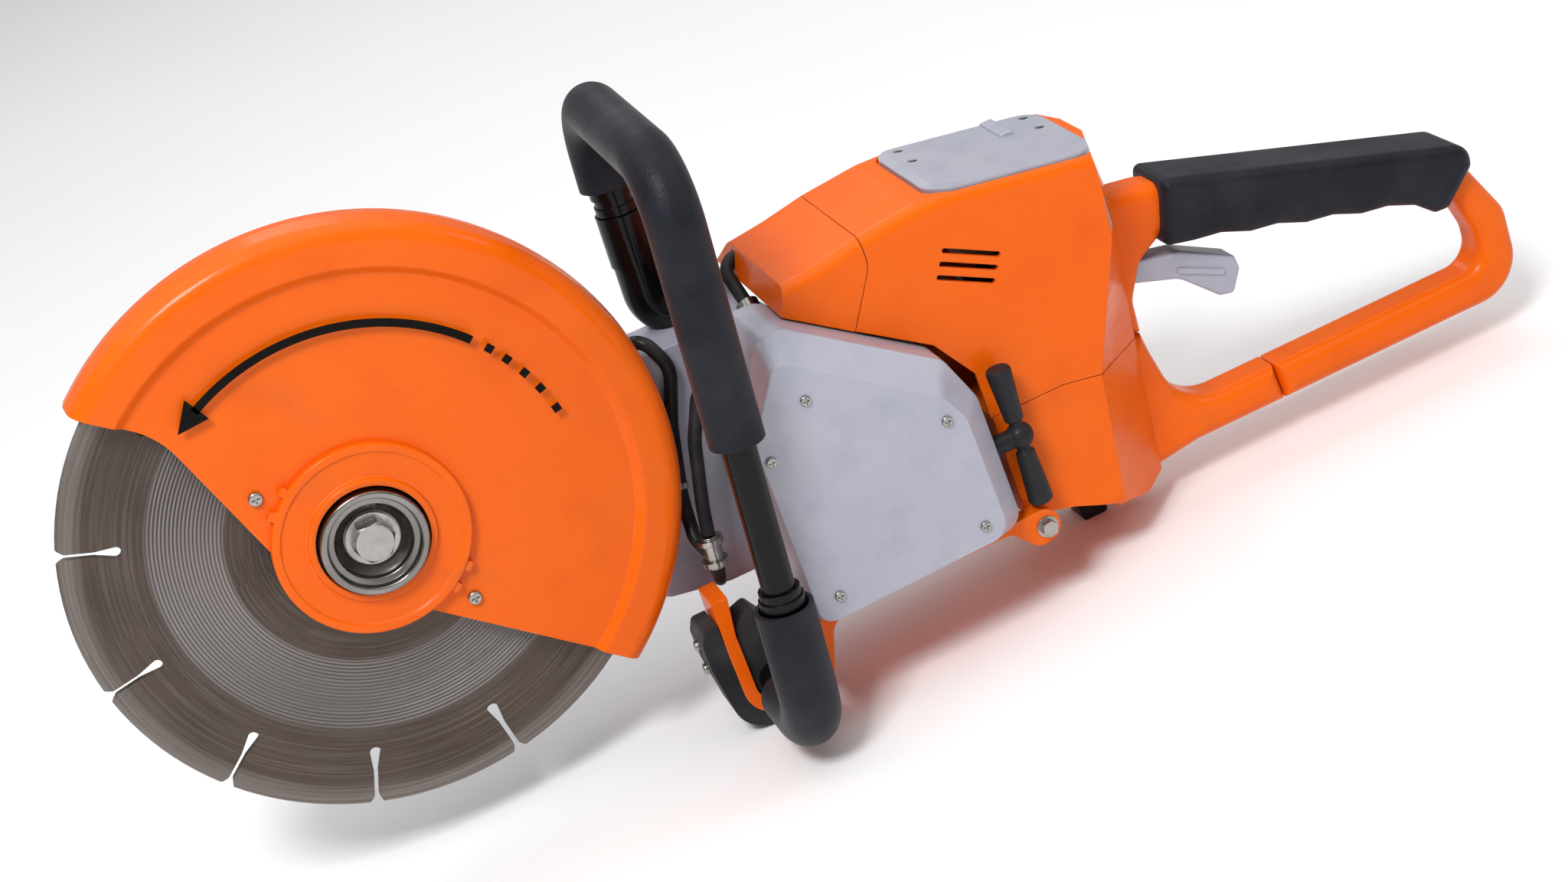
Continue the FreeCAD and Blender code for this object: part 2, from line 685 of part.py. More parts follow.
def body_section(station, inset):
    u, top = station
    half = BODY_HALF - inset
    low = TANK_BOTTOM + inset
    high = top - inset
    corners = [(35, high, 12), (half, high - 16, 10), (half, low + 15, 10), (half - 26, low, 9),
               (-half + 26, low, 9), (-half, low + 15, 10), (-half, high, 6)]
    wire = outline(corners)
    wire.rotate(ORIGIN, Z_AXIS, 90)
    wire.translate(V(EX + u, MID_Y, 0))
    return wire


def rear_trim(inset):
    """Solid behind the slanted rear faces, moved forward by inset."""
    rings = []
    for z, side_u, wall_u in REAR_LINE:
        side_x = EX + side_u
        wall_x = EX + wall_u
        near = MID_Y - BODY_HALF
        far = MID_Y + BODY_HALF
        steep = (wall_x - side_x) / (BODY_HALF - BAR_HALF)
        reach = 8
        points = [(side_x - steep * reach - inset, near - reach), (wall_x - inset, MID_Y - BAR_HALF),
                  (wall_x - inset, MID_Y + BAR_HALF), (side_x - steep * reach - inset, far + reach),
                  (EX + 340, far + reach), (EX + 340, near - reach)]
        rings.append(Part.makePolygon([V(x, y, z) for x, y in points + points[:1]]))
    return Part.makeLoft(rings, True, True)


def body_blank(inset):
    loft = Part.makeLoft([body_section(s, inset) for s in BODY_STATIONS], True, True)
    return loft.cut(rear_trim(max(inset, 0)))


# Outlines of the three casings in (u, z); a seam of SEAM stays open between them.
SEAM = 0.5
FRONT_REGION = [(61, 70), (92 - SEAM, 70), (92.5 - SEAM, 32, 14), (75 - SEAM, 2.9), (42, 26.2)]
UPPER_REGION = [(92, 70), (92.5, 32, 14), (75, 2.9), (110, -21.6), (126, -46), (126, SPLIT_Z), (168, SPLIT_Z),
                (189, -76), (231, -87), (245, -91), (245, 70)]
TANK_REGION = [(127, SPLIT_Z - SEAM), (168, SPLIT_Z - SEAM), (189, -76 - SEAM), (231, -87 - SEAM),
               (245, -91 - SEAM), (245, TANK_BOTTOM - 5),
               (186, TANK_BOTTOM - 5), (177, -149, 6), (154, -139, 20), (127, -131)]
LID_X0 = 134.5
LID_X1 = 225.5
LID_NEAR = -35.0
LID_FAR = 51.0
LID_GAP = 1.2


def lid_prism(grow):
    plan = Part.makeBox(LID_X1 - LID_X0 + 2 * grow, LID_FAR - LID_NEAR + 2 * grow, 120,
                        V(EX + LID_X0 - grow, LID_NEAR - grow, -10))
    return plan.makeFillet(14, [e for e in plan.Edges if abs(e.Vertexes[0].Z - e.Vertexes[1].Z) > 1])


def vent_slots():
    cuts = []
    for i in range(3):
        slot = box(-16, 16, -12, 12, -1.4, 1.4)
        slot = slot.makeFillet(1.3, [e for e in slot.Edges if abs(e.Vertexes[0].Y - e.Vertexes[1].Y) > 1])
        slot.rotate(ORIGIN, Y_AXIS, 28)
        slot.translate(V(EX + 144 - 3.5 * i, MID_Y - BODY_HALF, 15.5 - 6 * i))
        cuts.append(slot)
    return group(cuts)


def handle_blank():
    half = BAR_HALF
    line = [(216, -3), (258, -10, 30), (429, -66, 16), (452, -112, 20), (452, -160, 26), (300, -160),
            (298.5, -138.7), (431.5, -138.7, 14), (431.5, -118, 18), (421, -85, 12), (262, -38, 10),
            (243, -49, 14), (233, -68, 14), (232, -86.8), (216, -82.5)]
    return round_rims(slab(line, MID_Y - half, MID_Y + half), [MID_Y - half, MID_Y + half], 8)


TRIGGER_U = 224.0
TRIGGER_Z = -55.0
TRIGGER_HALF = 8.0


def trigger_slot():
    gap = TRIGGER_HALF + BODY_CLEAR + 0.6
    return slab([(212, -44), (248, -36), (250, -72), (228, -72), (212, -66)], MID_Y - gap, MID_Y + gap)


def rear_handle():
    handle = handle_blank().cut(trigger_slot())
    pin = disc(2.5, MID_Y - BAR_HALF - 1, MID_Y + BAR_HALF + 1, EX + TRIGGER_U, TRIGGER_Z)
    return handle.cut(pin)


def front_shroud():
    cavity = slab([(65, 70), (110, 70), (110, -20), (60, -20), (46, 26)], -80, 120)
    shell = body_blank(0).cut(body_blank(WALL).common(cavity))
    shell = shell.common(slab(FRONT_REGION, -80, 120))
    return max(shell.cut(feed_line()).Solids, key=lambda s: s.Volume)


def upper_shroud():
    shell = body_blank(0).cut(body_blank(WALL)).common(slab(UPPER_REGION, -80, 120))
    ledge = lid_prism(LID_GAP).cut(body_blank(1.8))
    well = lid_prism(-5)
    shell = shell.cut(ledge).cut(well).cut(vent_slots()).cut(lid_screws())
    solid = shell.cut(slab([(210, 20), (262, 20), (262, -100), (210, -100)], MID_Y - BAR_HALF, MID_Y + BAR_HALF))
    return max(solid.Solids, key=lambda s: s.Volume)


def filter_lid():
    skin = body_blank(-1.6).cut(body_blank(1.8))
    lid = skin.common(lid_prism(0))
    tab = box(EX + 195, EX + 202, MID_Y + 3, MID_Y + 32, 20, 43.4)
    tab = tab.makeFillet(1, [e for e in tab.Edges if e.BoundBox.ZMin > 43])
    lid = max(lid.Solids, key=lambda s: s.Volume).fuse(tab.cut(body_blank(0)))
    for x, y in lid_screw_places():
        lid = lid.cut(Part.makeCylinder(2.6, 60, V(x, y, 0)))
    return max(lid.Solids, key=lambda s: s.Volume)


def lid_screw_places():
    return [(EX + u, y) for u in (147, 217) for y in (21.5, 43.5)]


def lid_screws():
    screws = []
    for x, y in lid_screw_places():
        top = 49.0 if x < EX + 180 else 37.2
        shank = Part.makeCylinder(2.6, 8, V(x, y, top - 8))
        socket = box(x - 1.5, x + 1.5, y - 0.4, y + 0.4, top - 1, top + 1)
        screws.append(shank.cut(socket))
    return group(screws)


CAP_U = 170.0
CAP_Z = -112.0


def rear_housing():
    outer = body_blank(0).common(slab(TANK_REGION, -80, 120))
    inner_region = slab([(130, SPLIT_Z - WALL), (168, SPLIT_Z - WALL), (189, -79), (212, -85), (212, -148),
                         (182, -148), (154, -135), (130, -128)], -80, 120)
    cavity = body_blank(WALL).common(inner_region)
    half = BAR_HALF
    bar = slab([(205, -81.2), (231.6, -88), (233.5, -100, 20), (242, -138.7, 30), (297.7, -138.7), (299.2, -160),
                (245, -160, 30), (215, TANK_BOTTOM, 20), (200, TANK_BOTTOM), (200, -90)], MID_Y - half, MID_Y + half)
    bar = round_rims(bar, [MID_Y - half, MID_Y + half], 8)
    neck = disc(19, MID_Y + BODY_HALF - 8, MID_Y + BODY_HALF + 5, EX + CAP_U, CAP_Z)
    solid = outer.fuse(bar).cut(cavity).fuse(neck)
    solid = solid.cut(disc(15, MID_Y + BODY_HALF - 12, MID_Y + BODY_HALF + 9, EX + CAP_U, CAP_Z))
    return max(solid.Solids, key=lambda s: s.Volume)


def fuel_cap():
    y0 = MID_Y + BODY_HALF + 5 + BODY_CLEAR
    cap = disc(21, y0, y0 + 9)
    plug = disc(15 - BODY_CLEAR, y0 - 12, y0)
    cap = cap.fuse(plug).fuse(box(-17, 17, y0 + 9, y0 + 14, -3, 3))
    notches = []
    for i in range(12):
        notch = disc(2.5, y0 - 1, y0 + 10, 22, 0)
        notches.append(turned(notch, i * 30))
    cap = cap.cut(group(notches))
    cap.translate(V(EX + CAP_U, 0, CAP_Z))
    return cap


# ---------------------------------------------------------------- rear grip and trigger
def rear_grip():
    waves = []
    count = 4
    for i in range(count * 2 + 1):
        share = i / (count * 2)
        dip = 2.0 if i % 2 else 0
        waves.append((398 - share * 126, -84 + share * 36.5 + dip, 9))
    line = [(264, -7.5, 4), (436, -64, 10), (435, -76, 6), (416, -93.5, 5), (408, -93, 3)] + waves
    line += [(255, -43.5, 4)]
    sleeve = slab(line, MID_Y - GRIP_HALF, MID_Y + GRIP_HALF)
    sleeve = round_rims(sleeve, [MID_Y - GRIP_HALF, MID_Y + GRIP_HALF], 6)
    return sleeve.cut(handle_blank())


def throttle_trigger():
    line = [(217, -48, 5), (240, -48, 20), (266, -54, 12), (295, -70, 3), (296, -78, 3), (289, -90, 3), (281, -88, 4),
            (262, -69, 16), (236, -60, 20), (217, -62, 5)]
    lever = slab(line, MID_Y - TRIGGER_HALF, MID_Y + TRIGGER_HALF)
    lever = round_rims(lever, [MID_Y - TRIGGER_HALF, MID_Y + TRIGGER_HALF], 1.6)
    rib = slab([(262, -62, 1), (287, -74, 1), (286, -77, 1), (261, -65, 1)], MID_Y - TRIGGER_HALF - 1.2,
               MID_Y + TRIGGER_HALF + 1.2)
    lever = lever.fuse(rib)
    return lever.cut(disc(2.5 + RUN_CLEAR, 0, 40, EX + TRIGGER_U, TRIGGER_Z)).removeSplitter()


def trigger_pin():
    return disc(2.5, MID_Y - BAR_HALF, MID_Y + BAR_HALF, EX + TRIGGER_U, TRIGGER_Z)


# ---------------------------------------------------------------- front handle and foot
def leg_u(z):
    """Distance u of the leg's centre line at height z."""
    share = (HANDLE_TOP_Z - z) / (HANDLE_TOP_Z - TUBE_Z)
    return LEG_TOP_U + (LEG_FOOT_U - LEG_TOP_U) * share


def handle_path(start_z, end_y):
    return [(EX + LEG_TOP_U - 2, FAR_LEG_Y, start_z), (EX + LEG_TOP_U + 2, FAR_LEG_Y, HANDLE_TOP_Z, 30),
            (EX + LEG_TOP_U, LEG_Y, HANDLE_TOP_Z, 30), (EX + LEG_FOOT_U, LEG_Y, TUBE_Z, 26),
            (EX + LEG_FOOT_U, end_y, TUBE_Z)]


def handle_tube():
    path = handle_path(40, FOOT_Y1)
    return bent_rod(path, TUBE_R).cut(bent_rod(path, TUBE_R - TUBE_WALL))


UPPER_SLEEVE_Z = 2.0
FAR_SLEEVE_Z = 93.0
LOWER_SLEEVE_Z = -88.0


def upper_sleeve():
    path = handle_path(FAR_SLEEVE_Z, 0)[:3] + [(EX + leg_u(UPPER_SLEEVE_Z), LEG_Y, UPPER_SLEEVE_Z)]
    sleeve = bent_rod(path, SLEEVE_R)
    return sleeve.cut(bent_rod(handle_path(40, FOOT_Y1), TUBE_R))


def lower_sleeve():
    end_y = LEG_Y + 48
    path = [(EX + leg_u(LOWER_SLEEVE_Z), LEG_Y, LOWER_SLEEVE_Z), handle_path(0, 0)[3],
            (EX + LEG_FOOT_U, end_y, TUBE_Z)]
    sleeve = bent_rod(path, LOW_SLEEVE_R)
    mouth = rod(V(EX + leg_u(LOWER_SLEEVE_Z + 1), LEG_Y, LOWER_SLEEVE_Z + 1),
                V(EX + leg_u(LOWER_SLEEVE_Z - 9), LEG_Y, LOWER_SLEEVE_Z - 9), LOW_SLEEVE_R - 2.2)
    return sleeve.cut(mouth).cut(bent_rod(handle_path(40, FOOT_Y1), TUBE_R))


def handle_boots():
    """Ribbed rubber boots where the sleeves end."""
    rings = []
    for i in range(4):
        z = LOWER_SLEEVE_Z - 8 + i * 4.5
        rings.append(rod(V(EX + leg_u(z), LEG_Y, z), V(EX + leg_u(z + 4.5), LEG_Y, z + 4.5), TUBE_R + 3 - (i % 2)))
    near = rings[0].multiFuse(rings[1:])
    rings = []
    for i in range(3):
        z = FAR_SLEEVE_Z - 5.4 - i * 4.5
        rings.append(rod(V(EX + 1.2, FAR_LEG_Y, z), V(EX + 1.4, FAR_LEG_Y, z + 4.5), TUBE_R + 3 - (i % 2)))
    far = rings[0].multiFuse(rings[1:])
    tube = bent_rod(handle_path(40, FOOT_Y1), TUBE_R)
    return group([near.cut(tube), far.cut(tube)])


def handle_arm():
    """Moulded arm that carries the far end of the handle tube on the belt arm's top."""
    y = FAR_LEG_Y
    top = rod(V(EX + 1.1, y, FAR_SLEEVE_Z - 15), V(EX - 0.4, y, 50), TUBE_R + 4)
    arm = bent_rod([(EX - 0.2, y, 54), (EX - 2, y, 20, 16), (EX + 24, y - 6, 11)], TUBE_R + 3)
    solid = top.fuse(arm).cut(bent_rod(handle_path(40, FOOT_Y1), TUBE_R))
    return solid.cut(belt_cover()).cut(arm_blank(0, 0, ARM_END_Y))


def bush_r():
    return TUBE_R + BUSH_WALL


def foot_bracket():
    """J strap: upright in front, round under the tube and up behind it."""
    r_in = bush_r()
    r_out = r_in + STRAP_T
    x = LEG_FOOT_U
    top = -106.0
    outer = [(x - r_out + 1, top), (x - r_out, top - 30), (x - r_out, TUBE_Z - r_out, r_out - 0.01),
             (x + r_out, TUBE_Z - r_out, r_out - 0.01), (x + r_out, TUBE_Z + 20), (x + r_in, TUBE_Z + 20),
             (x + r_in, TUBE_Z - r_in, r_in - 0.01), (x - r_in, TUBE_Z - r_in, r_in - 0.01),
             (x - r_in, top - 22, 12), (x - r_in + 3, top)]
    return slab(outer, FOOT_Y0, FOOT_Y1)


def tube_bush():
    x = LEG_FOOT_U
    r = bush_r()
    block = slab([(x - r, TUBE_Z - r, r - 0.01), (x + r, TUBE_Z - r, r - 0.01), (x + r, TUBE_Z + 24, 3),
                  (x + 2, TUBE_Z + 40, 3), (x - r + 2, TUBE_Z + 36, 3), (x - r, TUBE_Z + 24)], FOOT_Y0 + 3,
                 FOOT_Y1 - 1)
    return block.cut(bent_rod(handle_path(40, FOOT_Y1 + 5), TUBE_R))


def foot_pad():
    x = LEG_FOOT_U
    r_in = bush_r() + STRAP_T
    r_out = r_in + PAD_T
    line = [(x - r_in - 8, -119, 3), (x - r_in - 11, -126, 6), (x - r_in - 11, -142, 10),
            (x - r_out, TUBE_Z - r_out + 4, r_out - 6), (x, TUBE_Z - r_out, 1), (x + r_out - 9, TUBE_Z - r_out, 12),
            (x + r_out, TUBE_Z - 4), (x + r_in, TUBE_Z - 4)]
    blank = slab(line + [(x + r_in, -119)], FOOT_Y0, FOOT_Y1)
    core = slab([(x - r_in, -100), (x - r_in, TUBE_Z - r_in, r_in - 0.01), (x + r_in, TUBE_Z - r_in, r_in - 0.01),
                 (x + r_in, -100)], FOOT_Y0 - 1, FOOT_Y1 + 1)
    return max(blank.cut(core).cut(foot_screws()).Solids, key=lambda s: s.Volume)


def foot_screws():
    screws = []
    x = EX + LEG_FOOT_U - bush_r() - STRAP_T - 11
    for z in (-130, -144):
        screw = screw_y(0, 0, 0, 3.2, 2.4, 3.5)
        screw.rotate(ORIGIN, Z_AXIS, -90)
        screw.translate(V(x, FOOT_Y0 + 12, z))
        screws.append(screw)
    return group(screws)


def base_skid():
    x = LEG_FOOT_U + bush_r() + STRAP_T
    top = HOUSING_BOTTOM
    t = 5.0
    line = [(x, -143, 3), (4, top, 8), (116, top), (138, top + 0.5, 9), (140, top - 18, 9), (124, top - 18.5, 8),
            (112, top - t, 8), (10, top - t, 10), (x + 6, TUBE_Z + 2, 6), (x, TUBE_Z + 2)]
    plate = slab(line, HOUSING_Y + 4, CASE_END_Y)
    behind_lug = box(EX + 122.5, EX + 160, HOUSING_Y + 14, 60, -170, -110)
    return plate.cut(behind_lug)


def lug_bolt():
    x = EX + 131.5
    z = HOUSING_BOTTOM - 9.5
    y = HOUSING_Y + 4
    corner = 4.6
    hexagon = [(corner * math.cos(math.radians(60 * i + 10)), corner * math.sin(math.radians(60 * i + 10)))
               for i in range(6)]
    head = slab(hexagon, y - 5, y, 0)
    head.translate(V(x, 0, z))
    return head.fuse(disc(5.8, y - 1, y, x, z))


def rear_foot():
    y0 = MID_Y + 9
    return slab([(172, TANK_BOTTOM - 0.2), (192, TANK_BOTTOM - 0.2), (189, FLOOR_Z, 2), (175, FLOOR_Z, 2)], y0, y0 + 20)


# ---------------------------------------------------------------- water hoses
def beside_guard(z, gap):
    """x of a point at height z that lies behind the guard's rim by the gap."""
    return math.sqrt((GUARD_R + gap) ** 2 - z ** 2)


TEE = V(beside_guard(-88, 17.8), -8, -88)
TEE_LEAN = V(0.8, 0, 9)


def tee():
    body = rod(TEE + TEE_LEAN, TEE - TEE_LEAN, 5)
    clamps = [rod(TEE + TEE_LEAN * s, TEE + TEE_LEAN * (s - 0.33), 7) for s in (0.85, -0.5)]
    return body.multiFuse(clamps)


def feed_line():
    """Path of the hose from the nose, behind the front leg and down to the tee."""
    return bent_rod([(EX + 58, 43, 34), (EX + 38, 43, 35, 10), (EX + 40, 17, 13, 9), (EX + 27, -3, 8, 12),
                     (EX - 4, -8, -2, 20), (EX - 15, -4, -30, 40), (EX - 23, -5, -62, 40),
                     (TEE + TEE_LEAN)[:]], HOSE_R)


def feed_hose():
    return feed_line()


RIM_PATH = [(EX - 31, 34, 18), (beside_guard(23, 6.1), 19.5, 23, 9), (beside_guard(4, 12.5), 16, 4, 18),
            (beside_guard(-26, 4.1), 17, -26, 30), (beside_guard(-62, 4.8), 12, -62, 30),
            (beside_guard(-80, 9.1), -2, -80, 12), (beside_guard(-88, 15.6), -7, -88)]


def guard_hoses():
    """Hose from the arm's top, over beside the guard rim to the tee, and the short one below the tee."""
    low = bent_rod([(TEE - TEE_LEAN * 1.04)[:], (TEE - TEE_LEAN * 2.1)[:] + (11,),
                    (EX - 25, ARM_Y - 1.2, -112)], HOSE_R)
    rim = bent_rod(RIM_PATH, HOSE_R).cut(arm_blank(0, ARM_Y, ARM_END_Y))
    return group([rim.cut(tee()), low])


def hose_fittings():
    """Tee with its two clamp rings, elbow ring at the nose, band on the rim hose, barb on the arm."""
    start = V(*RIM_PATH[3][:3])
    along = V(*RIM_PATH[4][:3]) - start
    band = rod(start + along * 0.8, start + along * 0.88, 4.4)
    elbow = rod(V(EX + 40, 21, 16.4), V(EX + 40, 17.4, 13.4), 6.0).cut(arm_blank(0, ARM_Y, ARM_END_Y))
    barb = rod(V(EX - 31, 34, 11), V(EX - 31, 34, 22.5), 5).cut(arm_blank(0, ARM_Y, ARM_END_Y))
    rim = bent_rod(RIM_PATH, HOSE_R)
    return group([tee().cut(feed_line()), elbow.cut(feed_line()), band.cut(rim), barb.cut(rim)])


NODES = {
    "cutting_disc": cutting_disc, "inner_flange": inner_flange, "outer_flange": outer_flange,
    "blade_bolt": blade_bolt, "spindle": spindle,
    "spindle_pulley": lambda: pulley(BLADE_PULLEY_R, ARBOR_R, 0, 0),
    "guard_near": guard_near, "guard_far": guard_far, "guard_hub_cap": guard_hub_cap,
    "guard_screws": guard_screws, "belt_arm": belt_arm, "belt_cover": belt_cover, "arm_screws": arm_screws,
    "ball_bearings": ball_bearings, "drive_belt": drive_belt, "crankshaft": crankshaft,
    "flywheel_fan": flywheel_fan, "clutch_shoes": clutch_shoes, "clutch_drum": clutch_drum,
    "crankcase": crankcase, "cylinder": cylinder, "spark_plug": spark_plug, "carburettor": carburettor,
    "intake_boot": intake_boot, "air_filter": air_filter, "fan_housing": fan_housing,
    "starter_cover": starter_cover, "cover_screws": cover_screws, "rope_bush": rope_bush,
    "starter_grip": starter_grip, "starter_rope": starter_rope, "starter_reel": starter_reel,
    "reel_post": reel_post, "recoil_spring": recoil_spring, "front_shroud": front_shroud,
    "upper_shroud": upper_shroud, "filter_lid": filter_lid, "lid_screws": lid_screws,
    "rear_housing": rear_housing, "rear_handle": rear_handle, "fuel_cap": fuel_cap,
    "rear_grip": rear_grip, "throttle_trigger": throttle_trigger, "trigger_pin": trigger_pin,
    "handle_tube": handle_tube, "upper_sleeve": upper_sleeve, "lower_sleeve": lower_sleeve,
    "handle_boots": handle_boots, "handle_arm": handle_arm, "foot_bracket": foot_bracket,
    "tube_bush": tube_bush, "foot_pad": foot_pad, "foot_screws": foot_screws, "base_skid": base_skid,
    "lug_bolt": lug_bolt, "rear_foot": rear_foot, "muffler": muffler, "feed_hose": feed_hose,
    "guard_hoses": guard_hoses, "hose_fittings": hose_fittings,
}


os.makedirs("parts", exist_ok=True)
shapes = {name: make() for name, make in NODES.items()}
bounds = FreeCAD.BoundBox()
for shape in shapes.values():
    bounds.add(shape.optimalBoundingBox(False, False))
shift = V(-(bounds.XMin + bounds.XMax) / 2, -(bounds.YMin + bounds.YMax) / 2, -bounds.ZMin)
for name, shape in shapes.items():
    shape.translate(shift)
    shape.exportStep("parts/" + name + ".step")
print("blade axis now at", [round(v, 3) for v in shift], "mm; size",
      [round(v, 1) for v in (bounds.XLength, bounds.YLength, bounds.ZLength)])
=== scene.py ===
import math

import bmesh
import bpy
from mathutils import Matrix, Vector


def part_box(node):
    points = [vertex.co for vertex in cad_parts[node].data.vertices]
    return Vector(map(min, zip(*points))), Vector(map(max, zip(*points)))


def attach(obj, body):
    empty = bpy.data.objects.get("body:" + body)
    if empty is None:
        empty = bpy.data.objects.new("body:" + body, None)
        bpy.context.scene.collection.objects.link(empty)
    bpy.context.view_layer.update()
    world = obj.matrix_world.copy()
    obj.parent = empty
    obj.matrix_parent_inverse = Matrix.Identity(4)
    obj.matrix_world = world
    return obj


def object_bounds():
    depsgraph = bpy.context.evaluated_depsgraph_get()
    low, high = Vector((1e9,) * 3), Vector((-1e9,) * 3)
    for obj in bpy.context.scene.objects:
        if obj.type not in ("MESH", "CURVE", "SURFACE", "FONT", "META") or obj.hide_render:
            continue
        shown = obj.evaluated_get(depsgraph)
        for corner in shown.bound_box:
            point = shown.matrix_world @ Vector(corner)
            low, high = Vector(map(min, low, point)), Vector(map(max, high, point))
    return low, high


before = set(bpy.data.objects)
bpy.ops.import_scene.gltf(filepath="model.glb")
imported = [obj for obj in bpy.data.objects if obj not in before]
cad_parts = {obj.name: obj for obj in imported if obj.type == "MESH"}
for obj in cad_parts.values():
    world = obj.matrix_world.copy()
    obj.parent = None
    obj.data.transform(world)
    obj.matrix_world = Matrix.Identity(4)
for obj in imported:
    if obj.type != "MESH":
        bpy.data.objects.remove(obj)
cad_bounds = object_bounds()


# ------------------------------------------------------------------ blade guard
# The guard is two pressed shells of enamelled sheet that clamp round the blade's rim,
# with a pressed cap over the hub.  Dust, fine scratches and pale rubbed edges show that
# it has been used; the enamel itself is thick and glossy.
class Finish:
    """A material being put together.  Its textures read the place on the part in metres."""

    def __init__(self, name, **sockets):
        self.material = bpy.data.materials.new(name)
        self.material.use_nodes = True
        self.tree = self.material.node_tree
        self.shader = self.tree.nodes["Principled BSDF"]
        self.place = self.node("ShaderNodeTexCoord").outputs["Object"]
        for socket, value in sockets.items():
            self.shader.inputs[socket.replace("_", " ")].default_value = value

    def node(self, kind, inputs=None, **settings):
        made = self.tree.nodes.new(kind)
        for key, value in settings.items():
            setattr(made, key, value)
        for key, value in (inputs or {}).items():
            self.feed(made.inputs[key], value)
        return made

    def feed(self, socket, value):
        if isinstance(value, bpy.types.NodeSocket):
            self.tree.links.new(value, socket)
        else:
            socket.default_value = value

    def noise(self, scale, detail=3.0, stretch=None):
        place = self.place
        if stretch:
            place = self.node("ShaderNodeMapping", {"Vector": place, "Scale": stretch}).outputs["Vector"]
        inputs = {"Vector": place, "Scale": scale, "Detail": detail}
        return self.node("ShaderNodeTexNoise", inputs).outputs["Fac"]

    def maths(self, operation, first, second=0.0):
        return self.node("ShaderNodeMath", {0: first, 1: second}, operation=operation).outputs["Value"]

    def spread(self, value, low, high, to_low=0.0, to_high=1.0):
        limits = {"Value": value, "From Min": low, "From Max": high, "To Min": to_low, "To Max": to_high}
        return self.node("ShaderNodeMapRange", limits).outputs["Result"]

    def blend(self, factor, first, second):
        mix = self.node("ShaderNodeMix", data_type="RGBA")
        self.feed(mix.inputs["Factor"], factor)
        self.feed(mix.inputs["A"], first)
        self.feed(mix.inputs["B"], second)
        return mix.outputs["Result"]

    def edges(self, radius):
        """1 on sharp edges of the part and 0 on its faces."""
        rounded = self.node("ShaderNodeBevel", {"Radius": radius}, samples=4).outputs["Normal"]
        flat = self.node("ShaderNodeNewGeometry").outputs["Normal"]
        both = self.node("ShaderNodeVectorMath", {0: rounded, 1: flat}, operation="DOT_PRODUCT")
        return self.spread(both.outputs["Value"], 0.985, 0.86)

    def colour(self, value):
        self.feed(self.shader.inputs["Base Color"], value)

    def roughness(self, value):
        self.feed(self.shader.inputs["Roughness"], value)

    def bump(self, height, distance, strength=1.0, rounding=0.0):
        inputs = {"Height": height, "Distance": distance, "Strength": strength}
        if rounding:
            inputs["Normal"] = self.node("ShaderNodeBevel", {"Radius": rounding}, samples=4).outputs["Normal"]
        self.feed(self.shader.inputs["Normal"], self.node("ShaderNodeBump", inputs).outputs["Normal"])


def dress(material, *nodes):
    """Gives carried-over parts their finish."""
    for name in nodes:
        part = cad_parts[name]
        part.data.materials.clear()
        part.data.materials.append(material)


ORANGE = (0.80, 0.112, 0.001, 1.0)
ORANGE_FADED = (0.83, 0.132, 0.003, 1.0)
ORANGE_DEEP = (0.66, 0.080, 0.001, 1.0)
UNDERCOAT = (0.93, 0.38, 0.16, 1.0)
GRIME = (0.12, 0.085, 0.065, 1.0)


def orange_finish(name, grain_depth, worn, coat):
    """Orange skin: cloudy colour, a little grime in broad patches, pale rubbed edges."""
    orange = Finish(name, Coat_Weight=coat, Coat_Roughness=0.12, Specular_IOR_Level=0.1)
    clouds = orange.spread(orange.noise(9.0, 4.0), 0.3, 0.75)
    body = orange.blend(clouds, ORANGE, ORANGE_FADED)
    body = orange.blend(orange.spread(orange.noise(31.0, 5.0), 0.52, 0.9, 0.0, 0.55), body, ORANGE_DEEP)
    grime = orange.spread(orange.noise(17.0, 8.0), 0.60, 0.82, 0.0, 0.22)
    body = orange.blend(grime, body, GRIME)
    patchy = orange.spread(orange.noise(70.0, 4.0), 0.42, 0.62, 0.0, worn)
    rubbed = orange.maths("MULTIPLY", orange.edges(0.0011), patchy)
    orange.colour(orange.blend(rubbed, body, UNDERCOAT))
    scratches = orange.spread(orange.noise(38.0, 6.0, (1.0, 1.0, 9.0)), 0.45, 0.8, 0.0, 0.16)
    smears = orange.spread(orange.noise(22.0, 6.0), 0.35, 0.75, 0.24, 0.42)
    orange.roughness(orange.maths("ADD", smears, scratches))
    orange.bump(orange.noise(900.0, 2.0), grain_depth, 0.5, rounding=0.0009)
    return orange.material


enamel = orange_finish("orange_enamel", 0.00006, 0.5, 0.2)
dress(enamel, "guard_near", "guard_far", "guard_hub_cap")


# ------------------------------------------------------------------ rotation arrow
# A curved arrow is printed on the guard's near face in black: a solid shaft, then five
# short dashes that fade it out.  It is generic and shows which way the blade turns.
# The ink has a little body, so it stands a hair proud of the enamel.
disc_low, disc_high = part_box("cutting_disc")
hub = (disc_low + disc_high) / 2
ARROW_R = 0.110
ARROW_HALF = 0.0021
ARROW_T = 0.0003
GUARD_FACE_OUT = 0.0180
ARROW_FACE_Y = hub.y - GUARD_FACE_OUT
ARROW_TIP, ARROW_BARBS = 125.0, 117.0
ARROW_HEAD_HALF = 0.0075
ARROW_SHAFT = (118.0, 41.7)
ARROW_DASHES = (36.5, 31.0, 25.0, 19.0, 12.0)
DASH_SPAN = 2.2
SHAFT_STEPS = 36
DASH_STEPS = 3


def on_guard(radius, degrees, y):
    angle = math.radians(degrees)
    return Vector((hub.x + radius * math.cos(angle), y, hub.z + radius * math.sin(angle)))


